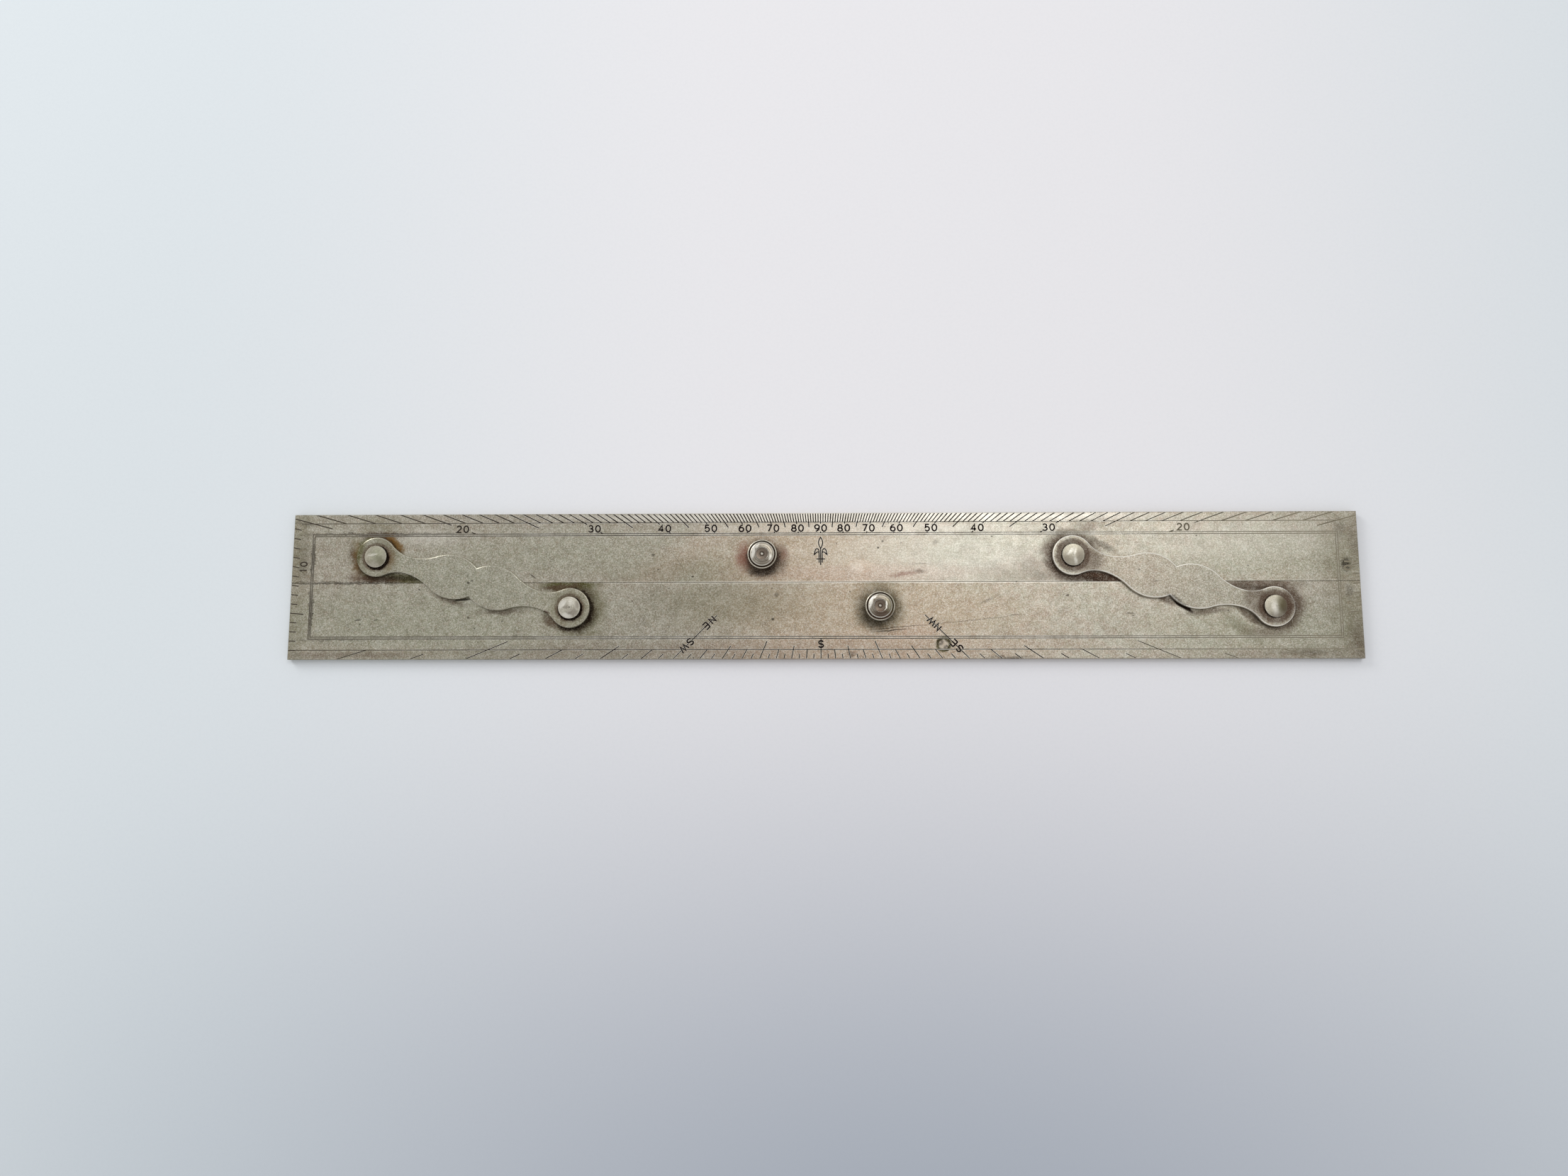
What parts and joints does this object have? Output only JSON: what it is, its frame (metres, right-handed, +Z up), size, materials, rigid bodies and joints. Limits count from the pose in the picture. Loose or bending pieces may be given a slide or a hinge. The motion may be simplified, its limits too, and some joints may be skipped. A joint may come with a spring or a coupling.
{
  "type": "parallel rule",
  "caption": "Parallel rule for chart work: long flat blades joined by lobed swinging arms on turned pivots, with turned finger knobs and engraved degree and compass scales.",
  "frame": {"origin": "under the middle of the closed rule, on the plane it rests on", "axes": "+X along the blades, +Y from the lower blade to the upper blade, +Z up from the table through the arms and knobs"},
  "size_m": [0.4572, 0.063, 0.011],
  "materials": {
    "blade": "aged satin nickel silver",
    "arm": "aged satin nickel silver",
    "pin": "turned nickel silver, rubbed bright",
    "washer": "tarnished brass",
    "knob": "turned nickel silver, tarnished in the grooves",
    "screw": "tarnished brass"
  },
  "bodies": {
    "lower_part": {"lower_blade": "blade", "left_lower_pin": "pin", "right_lower_pin": "pin", "left_lower_washer": "washer", "right_lower_washer": "washer", "lower_knob": "knob", "lower_knob_screw": "screw"},
    "left_swing": {"left_arm": "arm"},
    "right_swing": {"right_arm": "arm"},
    "upper_part": {"upper_blade": "blade", "left_upper_pin": "pin", "right_upper_pin": "pin", "left_upper_washer": "washer", "right_upper_washer": "washer", "upper_knob": "knob", "upper_knob_screw": "screw"}
  },
  "joints": [
    {"name": "left_arm_swing", "type": "hinge", "parent": "lower_part", "child": "left_swing", "pos_m": [-0.10728, -0.00965, 0.0042], "axis": [0, 0, -1], "range_deg": [0, 149.8]},
    {"name": "upper_blade_swing", "type": "hinge", "parent": "left_swing", "child": "upper_part", "pos_m": [-0.1914, 0.01255, 0.0042], "axis": [0, 0, -1], "range_deg": [-149.8, 0]},
    {"name": "right_arm_swing", "type": "hinge", "parent": "lower_part", "child": "right_swing", "pos_m": [0.1914, -0.00965, 0.0042], "axis": [0, 0, -1], "range_deg": [0, 149.8]}
  ],
  "couplings": [
    {"joint": "upper_blade_swing", "follows": "left_arm_swing", "ratio": -1},
    {"joint": "right_arm_swing", "follows": "left_arm_swing", "ratio": 1}
  ]
}
